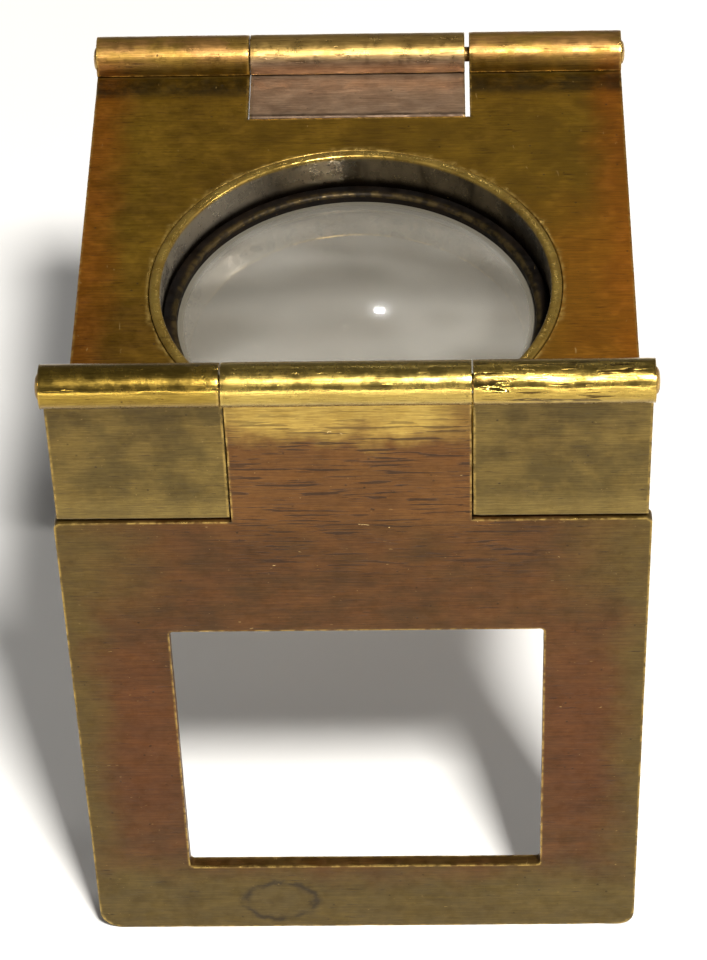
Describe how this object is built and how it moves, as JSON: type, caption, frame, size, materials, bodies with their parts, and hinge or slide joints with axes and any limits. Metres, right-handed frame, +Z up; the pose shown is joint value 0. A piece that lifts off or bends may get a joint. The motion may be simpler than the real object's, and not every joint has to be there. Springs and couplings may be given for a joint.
{
  "type": "folding magnifier",
  "caption": "Folding brass pocket magnifier standing on two hinged leaves, with a round lens in its top plate and a square counting window in the front leaf.",
  "frame": {"origin": "on the table, under the middle of the whole object", "axes": "+Z up, front leaf with the window faces -Y, hinge axes along X"},
  "size_m": [0.0396, 0.05, 0.0576],
  "materials": {
    "leaf_brass": "aged, coppery brown with worn golden edges",
    "plate_brass": "aged, olive brown",
    "rear_brass": "aged, dull with a faint purple tarnish",
    "pin_brass": "worn",
    "cell_brass": "worn bright on the rim",
    "ring_brass": "dark, dull",
    "glass": "clear, polished"
  },
  "bodies": {
    "plate_body": {"lens_plate": "plate_brass", "lens_cell": "cell_brass", "retaining_ring": "ring_brass", "lens": "glass", "front_hinge_pin": "pin_brass", "rear_hinge_pin": "pin_brass"},
    "front_leaf_body": {"front_leaf": "leaf_brass"},
    "rear_leaf_body": {"rear_leaf": "rear_brass"}
  },
  "joints": [
    {"name": "front_fold", "type": "hinge", "parent": "plate_body", "child": "front_leaf_body", "pos_m": [0, -0.02353, 0.0562], "axis": [1, 0, 0], "range_deg": [-270, 0]},
    {"name": "rear_fold", "type": "hinge", "parent": "plate_body", "child": "rear_leaf_body", "pos_m": [0, 0.02332, 0.0451], "axis": [1, 0, 0], "range_deg": [0, 270]}
  ]
}
